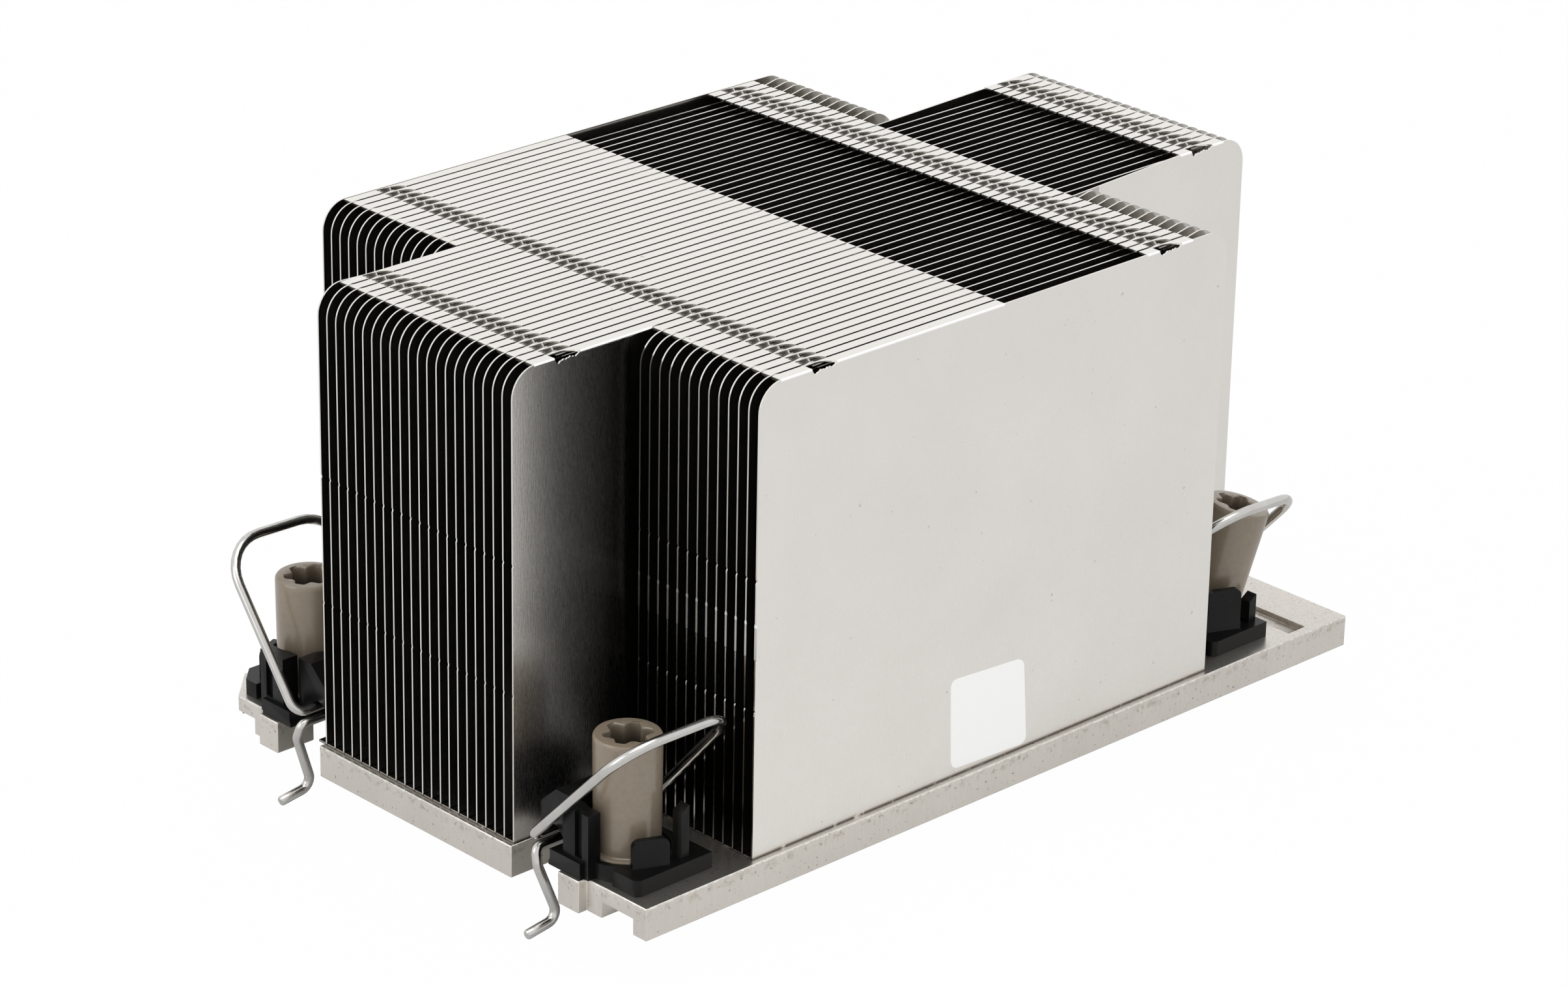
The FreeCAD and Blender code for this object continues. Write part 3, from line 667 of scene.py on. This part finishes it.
# Base, retainers and label
def eased_copy(node, material, width):
    """The CAD node's own form with its sharp edges eased by a small bevel."""
    merge, flat, sharp = 2e-6, math.radians(1), math.radians(40)
    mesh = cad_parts[node].data.copy()
    mesh.name = "eased_" + node
    shape = bmesh.new()
    shape.from_mesh(mesh)
    bmesh.ops.remove_doubles(shape, verts=shape.verts, dist=merge)
    bmesh.ops.dissolve_limit(shape, angle_limit=flat, verts=shape.verts, edges=shape.edges)
    shape.to_mesh(mesh)
    shape.free()
    mesh.polygons.foreach_set("use_smooth", [True] * len(mesh.polygons))
    mesh.set_sharp_from_angle(angle=sharp)
    mesh.materials.clear()
    mesh.materials.append(material)
    piece = bpy.data.objects.new("eased_" + node, mesh)
    bpy.context.scene.collection.objects.link(piece)
    bevel = piece.modifiers.new("eased_edges", "BEVEL")
    bevel.width = width * MM
    bevel.segments = 2
    bevel.limit_method = "ANGLE"
    bevel.angle_limit = sharp
    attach(piece, "heatsink")
    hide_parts(node)
    return piece


# the sticker's corners as (y, z), its corner radius as a share of its sides, and its two faces
LABEL_CORNERS = np.array([(-10.74, 16.51), (1.36, 15.74), (2.26, 4.47), (-10.26, 4.97)])
LABEL_RADIUS = 0.09
LABEL_FACES = (37.69, 37.78)


def label(material):
    """A thin bare sticker on the right outer plate: a rectangle with round corners, laid
    between its four corner points."""
    turn = np.linspace(0, math.pi / 2, 6)
    places = []
    for u, v, quarter in ((1, 1, 0), (0, 1, 1), (0, 0, 2), (1, 0, 3)):
        centre = np.array([u + (LABEL_RADIUS if u == 0 else -LABEL_RADIUS),
                           v + (LABEL_RADIUS if v == 0 else -LABEL_RADIUS)])
        angle = turn + quarter * math.pi / 2
        places.append(centre + LABEL_RADIUS * np.column_stack([np.cos(angle), np.sin(angle)]))
    places = np.concatenate(places)
    u, v = places[:, :1], places[:, 1:]
    upper_front, upper_back, lower_back, lower_front = LABEL_CORNERS
    outline = ((1 - u) * v * upper_front + u * v * upper_back
               + u * (1 - v) * lower_back + (1 - u) * (1 - v) * lower_front)
    verts, faces = extruded(outline, *LABEL_FACES)
    return add_piece("bare_label", verts, faces, material, "heatsink")


# Shader nodes
def link(tree, source, target):
    tree.links.new(source, target)


def group(name, inputs, outputs):
    """An empty shader node group with named float or vector sockets."""
    tree = bpy.data.node_groups.new(name, "ShaderNodeTree")
    kinds = {"f": "NodeSocketFloat", "v": "NodeSocketVector"}
    for title, kind, value in inputs:
        socket = tree.interface.new_socket(title, in_out="INPUT", socket_type=kinds[kind])
        if value is not None:
            socket.default_value = value
    for title, kind in outputs:
        tree.interface.new_socket(title, in_out="OUTPUT", socket_type=kinds[kind])
    return tree, tree.nodes.new("NodeGroupInput"), tree.nodes.new("NodeGroupOutput")


def math_node(tree, operation, first, second=None, third=None, clamp=False):
    """One math node over numbers or sockets."""
    node = tree.nodes.new("ShaderNodeMath")
    node.operation = operation
    node.use_clamp = clamp
    for place, value in enumerate((first, second, third)):
        if value is None:
            continue
        if isinstance(value, (int, float)):
            node.inputs[place].default_value = value
        else:
            link(tree, value, node.inputs[place])
    return node.outputs[0]


def noise(tree, vector, scale, detail, rough):
    """Noise about 0.5 over a vector, its scale taken from a socket."""
    node = tree.nodes.new("ShaderNodeTexNoise")
    node.inputs["Detail"].default_value = detail
    node.inputs["Roughness"].default_value = rough
    link(tree, scale, node.inputs["Scale"])
    link(tree, vector, node.inputs["Vector"])
    return node.outputs["Fac"]


def stretched(tree, vector, stretch):
    """A vector times another, which is given as numbers or as a socket."""
    node = tree.nodes.new("ShaderNodeVectorMath")
    node.operation = "MULTIPLY"
    link(tree, vector, node.inputs[0])
    if isinstance(stretch, tuple):
        node.inputs[1].default_value = stretch
    else:
        link(tree, stretch, node.inputs[1])
    return node.outputs[0]


def make_grain():
    """Grain: fine noise on stretched coordinates, as a value about 0.5."""
    tree, start, end = group("surface_grain", [
        ("Place", "v", None), ("Stretch", "v", (1, 1, 1)), ("Scale", "f", 4.0)],
        [("Value", "f")])
    place = stretched(tree, start.outputs["Place"], start.outputs["Stretch"])
    value = noise(tree, place, start.outputs["Scale"], detail=4.0, rough=0.6)
    link(tree, value, end.inputs["Value"])
    return tree


def make_specks():
    """Specks: where noise rises over a limit, ramped over a soft width."""
    tree, start, end = group("specks", [
        ("Place", "v", None), ("Stretch", "v", (1, 1, 1)), ("Scale", "f", 1.0),
        ("Limit", "f", 0.7), ("Softness", "f", 0.05)], [("Mask", "f")])
    place = stretched(tree, start.outputs["Place"], start.outputs["Stretch"])
    value = noise(tree, place, start.outputs["Scale"], detail=2.0, rough=0.5)
    over = math_node(tree, "SUBTRACT", value, start.outputs["Limit"])
    mask = math_node(tree, "DIVIDE", over, start.outputs["Softness"], clamp=True)
    link(tree, mask, end.inputs["Mask"])
    return tree


def make_edge_band():
    """Edge band: 1 within a width of a given height, fading with distance, broken up by
    noise. Place is in millimetres."""
    contrast = 8.0
    tree, start, end = group("edge_band", [
        ("Place", "v", None), ("Height", "f", 4.0), ("Width", "f", 0.5), ("Break", "f", 0.6),
        ("Scale", "f", 0.7)], [("Mask", "f")])
    split = tree.nodes.new("ShaderNodeSeparateXYZ")
    link(tree, start.outputs["Place"], split.inputs[0])
    away = math_node(tree, "SUBTRACT", split.outputs["Z"], start.outputs["Height"])
    away = math_node(tree, "ABSOLUTE", away)
    away = math_node(tree, "DIVIDE", away, start.outputs["Width"])
    near = math_node(tree, "SUBTRACT", 1.0, away, clamp=True)
    value = noise(tree, start.outputs["Place"], start.outputs["Scale"], detail=4.0, rough=0.65)
    value = math_node(tree, "SUBTRACT", value, start.outputs["Break"])
    value = math_node(tree, "MULTIPLY", value, contrast, clamp=True)
    link(tree, math_node(tree, "MULTIPLY", near, value), end.inputs["Mask"])
    return tree


def make_recess_painted_shade():
    """Painted shade beside the wings: 0 at the front end of the long fins, rising over Reach
    towards the wings. The back half stays light."""
    curve = 0.75
    tree, start, end = group("recess_painted_shade_mask", [
        ("Place", "v", None), ("End", "f", 59.3), ("Reach", "f", 15.0)], [("Mask", "f")])
    split = tree.nodes.new("ShaderNodeSeparateXYZ")
    link(tree, start.outputs["Place"], split.inputs[0])
    away = math_node(tree, "ABSOLUTE", split.outputs["Y"])
    away = math_node(tree, "SUBTRACT", start.outputs["End"], away)
    away = math_node(tree, "DIVIDE", away, start.outputs["Reach"], clamp=True)
    away = math_node(tree, "POWER", away, curve)
    front = math_node(tree, "LESS_THAN", split.outputs["Y"], 0.0)
    link(tree, math_node(tree, "MULTIPLY", away, front), end.inputs["Mask"])
    return tree


GRAIN, SPECKS, EDGE_BAND = make_grain(), make_specks(), make_edge_band()
RECESS_PAINTED_SHADE = make_recess_painted_shade()
PER_METRE = (1e3, 1e3, 1e3)
# the colour of painted highlights
PAINTED_HIGHLIGHT = (1.0, 1.0, 0.99)
WHITE = (1, 1, 1, 1)


class Finish:
    """A material under construction: one Principled BSDF fed by millimetre coordinates."""

    def __init__(self, name, metallic, roughness):
        self.material = bpy.data.materials.new(name)
        self.material.use_nodes = True
        self.tree = self.material.node_tree
        self.shader = self.tree.nodes["Principled BSDF"]
        self.shader.inputs["Metallic"].default_value = metallic
        self.shader.inputs["Roughness"].default_value = roughness
        coordinates = self.tree.nodes.new("ShaderNodeTexCoord")
        self.place = stretched(self.tree, coordinates.outputs["Object"], PER_METRE)

    def effect(self, tree, **values):
        """One of the node groups, with its sockets set by name."""
        node = self.tree.nodes.new("ShaderNodeGroup")
        node.node_tree = tree
        link(self.tree, self.place, node.inputs["Place"])
        for name, value in values.items():
            node.inputs[name].default_value = value
        return node.outputs[0]

    def mixed(self, factor, first, second):
        """The first colour at factor 0 and the second at factor 1."""
        node = self.tree.nodes.new("ShaderNodeMix")
        node.data_type = "RGBA"
        for socket, value in ((node.inputs[0], factor), (node.inputs[6], first),
                              (node.inputs[7], second)):
            if isinstance(value, (int, float)):
                socket.default_value = value
            elif isinstance(value, tuple):
                socket.default_value = (*value, 1)
            else:
                link(self.tree, value, socket)
        return node.outputs[2]

    def scaled(self, value, share):
        return math_node(self.tree, "MULTIPLY", value, share)

    def ramped(self, value, low, high):
        """Value 0..1 spread between two numbers."""
        return math_node(self.tree, "ADD", self.scaled(value, high - low), low)

    def shaded(self, colour, dark):
        """Painted light from the mesh's shade attribute: colour taken to dark as painted shade
        where it is 1, and to bright as a painted highlight where it is -1.
        """
        shade = self.tree.nodes.new("ShaderNodeAttribute")
        shade.attribute_name = "shade"
        down = math_node(self.tree, "MULTIPLY", shade.outputs["Fac"], 1.0, clamp=True)
        up = math_node(self.tree, "MULTIPLY", shade.outputs["Fac"], -1.0, clamp=True)
        return self.mixed(up, self.mixed(down, colour, dark), PAINTED_HIGHLIGHT)

    def colour(self, value):
        link(self.tree, value, self.shader.inputs["Base Color"])

    def roughness(self, value):
        link(self.tree, value, self.shader.inputs["Roughness"])

    def bump(self, height, distance, strength):
        """Relief of a depth in millimetres."""
        node = self.tree.nodes.new("ShaderNodeBump")
        node.inputs["Distance"].default_value = distance * MM
        node.inputs["Strength"].default_value = strength
        link(self.tree, height, node.inputs["Height"])
        link(self.tree, node.outputs[0], self.shader.inputs["Normal"])


# Materials
def fin_sheet(name, level, rough, relief, recess_shade_share=0.0):
    """Satin plated sheet: upright rolling grain, faint smears, a few dark specks and a dark
    joint at the base. Level is its brightness, and below 1 it is painted shade between the
    fins; rough is the range of its roughness and relief the depth of its grain. A recess share
    paints shade from the front end of a side plate towards the wings. The mesh's shade
    attribute paints shade and highlights in."""
    dull, pale, grain_tone = (0.79, 0.765, 0.72), (0.90, 0.88, 0.845), (0.62, 0.59, 0.55)
    speck_tone, channel_shade_tone = (0.28, 0.26, 0.24), (0.05, 0.048, 0.044)
    recess_shade_tone, joint_tone, shade_tone = ((0.03, 0.028, 0.025), (0.035, 0.022, 0.014),
                                           (0.03, 0.027, 0.022))
    f = Finish(name, metallic=1.0, roughness=0.3)
    streak = f.effect(GRAIN, Stretch=(6.0, 6.0, 0.35), Scale=1.6)
    grain = f.effect(GRAIN, Scale=7.0)
    smear = f.effect(GRAIN, Scale=0.06)
    colour = f.mixed(smear, dull, pale)
    colour = f.mixed(f.ramped(grain, 0.0, 0.16), colour, grain_tone)
    specks = f.effect(SPECKS, Scale=1.1, Limit=0.75, Softness=0.03)
    colour = f.mixed(f.scaled(specks, 0.4), colour, speck_tone)
    # painted shade: a level below 1 darkens the faces between fins
    colour = f.mixed(1.0 - level, colour, channel_shade_tone)
    # painted shade from the front end towards the wings, where the dark wing is seen in the plate
    if recess_shade_share:
        colour = f.mixed(f.scaled(f.effect(RECESS_PAINTED_SHADE), recess_shade_share), colour, recess_shade_tone)
    joint = f.effect(EDGE_BAND, Height=BASE_TOP, Width=0.4, Break=0.3, Scale=0.6)
    colour = f.mixed(joint, colour, joint_tone)
    # the mesh's shade attribute paints shade and highlights
    f.colour(f.shaded(colour, shade_tone))
    f.roughness(f.ramped(streak, *rough))
    f.bump(math_node(f.tree, "ADD", f.scaled(streak, 2.0), grain), relief, strength=0.7)
    return f.material


def base_plating():
    """Dull plating over a machined slab: upright cutter marks, brown specks under the upper
    edge, chipped bright edges, and painted shade, mottled, on the upper face."""
    dull, pale, mark_tone = (0.70, 0.665, 0.615), (0.84, 0.81, 0.76), (0.46, 0.42, 0.37)
    stain_tone, pit_tone = (0.3, 0.22, 0.14), (0.16, 0.12, 0.09)
    knock_tone, face_painted_shade_tone = (0.95, 0.94, 0.91), (0.12, 0.11, 0.1)
    f = Finish("base_plating_finish", metallic=1.0, roughness=0.4)
    marks = f.effect(GRAIN, Stretch=(6.0, 6.0, 0.3), Scale=1.5)
    grain = f.effect(GRAIN, Scale=5.0)
    cloud = f.effect(GRAIN, Scale=0.12)
    colour = f.mixed(cloud, dull, pale)
    colour = f.mixed(f.ramped(marks, 0.0, 0.45), colour, mark_tone)
    stain = f.effect(EDGE_BAND, Height=3.2, Width=0.8, Break=0.5, Scale=1.1)
    colour = f.mixed(f.scaled(stain, 0.4), colour, stain_tone)
    pits = f.effect(SPECKS, Scale=2.2, Limit=0.67, Softness=0.04)
    colour = f.mixed(f.scaled(pits, 0.6), colour, pit_tone)
    knocks = f.effect(EDGE_BAND, Height=3.85, Width=0.14, Break=0.45, Scale=1.3)
    colour = f.mixed(knocks, colour, knock_tone)
    # painted shade on the upper face
    face = f.effect(EDGE_BAND, Height=BASE_TOP, Width=0.04, Break=0.45, Scale=2.5)
    colour = f.mixed(f.scaled(face, 0.12), colour, face_painted_shade_tone)
    f.colour(colour)
    f.roughness(f.ramped(grain, 0.24, 0.46))
    height = math_node(f.tree, "SUBTRACT", marks, pits)
    f.bump(math_node(f.tree, "ADD", height, grain), 0.012, strength=0.6)
    return f.material


def nut_polymer():
    """Tan engineering polymer with a fine mottle, faint turning lines, and painted shade deep in
    the socket.
    """
    deep, pale, grain_tone = (0.25, 0.2, 0.143), (0.345, 0.285, 0.212), (0.18, 0.14, 0.1)
    shade_tone = (0.004, 0.003, 0.002)
    f = Finish("nut_polymer_finish", metallic=0.0, roughness=0.3)
    f.shader.inputs["Specular IOR Level"].default_value = 0.75
    mottle = f.effect(GRAIN, Scale=1.2)
    grain = f.effect(GRAIN, Scale=6.0)
    lines = f.effect(GRAIN, Stretch=(0.4, 0.4, 9.0), Scale=1.2)
    colour = f.mixed(mottle, deep, pale)
    colour = f.mixed(f.ramped(grain, 0.0, 0.3), colour, grain_tone)
    # the mesh's shade paints shade deep in the socket
    f.colour(f.shaded(colour, shade_tone))
    f.roughness(f.ramped(grain, 0.16, 0.32))
    f.bump(math_node(f.tree, "ADD", grain, lines), 0.006, strength=0.5)
    return f.material


def retainer_black():
    """Satin black moulding with a fine texture and a few dust specks."""
    deep, pale, dust_tone = (0.002, 0.002, 0.002), (0.006, 0.006, 0.006), (0.2, 0.19, 0.17)
    f = Finish("retainer_black_finish", metallic=0.0, roughness=0.3)
    f.shader.inputs["Specular IOR Level"].default_value = 0.22
    grain = f.effect(GRAIN, Scale=5.0)
    cloud = f.effect(GRAIN, Scale=0.5)
    colour = f.mixed(cloud, deep, pale)
    dust = f.effect(SPECKS, Scale=2.5, Limit=0.7, Softness=0.08)
    f.colour(f.mixed(f.scaled(dust, 0.12), colour, dust_tone))
    f.roughness(f.ramped(grain, 0.22, 0.42))
    f.bump(grain, 0.01, strength=0.5)
    return f.material


def wire_steel():
    """Drawn spring wire: bright, with faint mottling from handling."""
    dull, pale, grain_tone = (0.5, 0.49, 0.47), (0.72, 0.71, 0.69), (0.36, 0.34, 0.32)
    f = Finish("wire_steel_finish", metallic=1.0, roughness=0.2)
    grain = f.effect(GRAIN, Scale=3.0)
    cloud = f.effect(GRAIN, Scale=0.4)
    colour = f.mixed(cloud, dull, pale)
    f.colour(f.mixed(f.ramped(grain, 0.0, 0.3), colour, grain_tone))
    f.roughness(f.ramped(grain, 0.1, 0.26))
    f.bump(grain, 0.004, strength=0.5)
    return f.material


def label_film():
    """Bare white film with a soft mottle, brightened by a faint painted glow."""
    dull, pale = (0.84, 0.84, 0.83), (0.92, 0.92, 0.91)
    f = Finish("label_film_finish", metallic=0.0, roughness=0.45)
    # painted glow: a faint white emission brightens the film
    f.shader.inputs["Emission Color"].default_value = WHITE
    f.shader.inputs["Emission Strength"].default_value = 0.22
    grain = f.effect(GRAIN, Scale=3.0)
    f.colour(f.mixed(grain, dull, pale))
    f.roughness(f.ramped(grain, 0.38, 0.55))
    f.bump(grain, 0.004, strength=0.4)
    return f.material


# Camera, floor and light
# azimuth, elevation and roll in degrees, place in millimetres, lens and sensor, clipping in metres
CAMERA_ANGLES = (46.1774, 23.3729, 1.0539)
CAMERA_PLACE = (413.627, -398.704, 272.983)
CAMERA_LENS, SENSOR_WIDTH = 118.969, 36
CLIP_START, CLIP_END = 0.02, 20
# the floor in metres, its tone, and the share of plain white in what the camera sees of it
FLOOR_REACH, FLOOR_HEIGHT = 3.0, -0.00525
FLOOR_TONE, FLOOR_GLOW = (0.92, 0.92, 0.92, 1), 0.985
# strength of the surroundings as light, and what they gain where they are seen or reflected
WORLD_FILL, WORLD_SEEN = 0.6, 0.4
# area lights: name, place, side and power
SOFTBOXES = (
    ("top_light", (0.1, -0.2, 1.1), 0.9, 4.0),
    ("front_light", (-0.3, -1.1, 0.6), 0.7, 2.0),
)


def place_camera():
    """The photograph's own viewpoint: place, view angles and lens."""
    azimuth, elevation, roll = (math.radians(angle) for angle in CAMERA_ANGLES)
    right = Vector((math.cos(azimuth), math.sin(azimuth), 0))
    ahead = Vector((-math.sin(azimuth) * math.cos(elevation),
                    math.cos(azimuth) * math.cos(elevation), -math.sin(elevation)))
    up = right.cross(ahead)
    across = right * math.cos(roll) + up * math.sin(roll)
    upright = up * math.cos(roll) - right * math.sin(roll)
    data = bpy.data.cameras.new("photo_camera")
    data.sensor_fit = "HORIZONTAL"
    data.sensor_width = SENSOR_WIDTH
    data.lens = CAMERA_LENS
    data.clip_start = CLIP_START
    data.clip_end = CLIP_END
    camera = bpy.data.objects.new("photo_camera", data)
    turn = Matrix((across, upright, -ahead)).transposed().to_4x4()
    camera.matrix_world = Matrix.Translation(Vector(CAMERA_PLACE) * MM) @ turn
    bpy.context.scene.collection.objects.link(camera)
    bpy.context.scene.camera = camera


def floor_finish():
    """Matt near-white for light and reflections, and nearly plain white for the camera."""
    material = bpy.data.materials.new("floor_finish")
    material.use_nodes = True
    tree = material.node_tree
    shader = tree.nodes["Principled BSDF"]
    shader.inputs["Base Color"].default_value = FLOOR_TONE
    shader.inputs["Roughness"].default_value = 0.9
    shader.inputs["Specular IOR Level"].default_value = 0.0
    glow = tree.nodes.new("ShaderNodeEmission")
    glow.inputs["Color"].default_value = WHITE
    rays = tree.nodes.new("ShaderNodeLightPath")
    share = math_node(tree, "MULTIPLY", rays.outputs["Is Camera Ray"], FLOOR_GLOW)
    mix = tree.nodes.new("ShaderNodeMixShader")
    link(tree, share, mix.inputs[0])
    link(tree, shader.outputs[0], mix.inputs[1])
    link(tree, glow.outputs[0], mix.inputs[2])
    link(tree, mix.outputs[0], tree.nodes["Material Output"].inputs["Surface"])
    return material


def place_floor():
    """A white floor just under the lowest hook."""
    mesh = bpy.data.meshes.new("floor")
    corners = [(x * FLOOR_REACH, y * FLOOR_REACH, FLOOR_HEIGHT)
               for x, y in ((-1, -1), (1, -1), (1, 1), (-1, 1))]
    mesh.from_pydata(corners, [], [(0, 1, 2, 3)])
    floor = bpy.data.objects.new("floor", mesh)
    bpy.context.scene.collection.objects.link(floor)
    mesh.materials.append(floor_finish())


def surround():
    """White surroundings, brighter where the camera sees them directly or in a gloss."""
    world = bpy.data.worlds.new("studio")
    bpy.context.scene.world = world
    world.use_nodes = True
    tree = world.node_tree
    back = tree.nodes["Background"]
    rays = tree.nodes.new("ShaderNodeLightPath")
    seen = math_node(tree, "MAXIMUM", rays.outputs["Is Camera Ray"], rays.outputs["Is Glossy Ray"])
    seen = math_node(tree, "MAXIMUM", seen, rays.outputs["Is Transmission Ray"])
    strength = math_node(tree, "MULTIPLY_ADD", seen, WORLD_SEEN, WORLD_FILL)
    back.inputs["Color"].default_value = WHITE
    link(tree, strength, back.inputs["Strength"])


def softbox(name, place, size, power):
    """A square light that faces the origin."""
    data = bpy.data.lights.new(name, "AREA")
    data.shape = "SQUARE"
    data.size = size
    data.energy = power
    lamp = bpy.data.objects.new(name, data)
    lamp.location = place
    lamp.rotation_euler = (-Vector(place)).to_track_quat("-Z", "Y").to_euler()
    bpy.context.scene.collection.objects.link(lamp)


place_camera()
place_floor()
surround()
for lamp_values in SOFTBOXES:
    softbox(*lamp_values)
bpy.context.scene.view_settings.view_transform = "Standard"

# name, brightness (below 1 is painted shade), range of roughness, relief, and the share of painted
# shade towards the wings
sheet_finish = fin_sheet("fin_sheet_finish", 1.0, (0.12, 0.26), 0.002)
skin_finish = fin_sheet("outer_skin_finish", 1.0, (0.22, 0.36), 0.008)
# the side plates get painted shade towards the wings
side_finish = fin_sheet("side_plate_finish", 1.0, (0.2, 0.34), 0.007, 0.96)
# the faces between fins are darkened as painted shade
channel_shade_finish = fin_sheet("channel_shade_finish", 0.62, (0.1, 0.22), 0.0015)
for number in range(1, FIN_TOTAL + 1):
    outer_finish = skin_finish if number in (1, FIN_TOTAL) else side_finish
    fin(number, sheet_finish, outer_finish, channel_shade_finish)
eased_copy("base_plate", base_plating(), 0.14)
eased_copy("nut_retainers", retainer_black(), 0.12)
polymer, steel = nut_polymer(), wire_steel()
for corner in CORNERS:
    nut(corner, polymer)
    wire(corner, steel)
label(label_film())
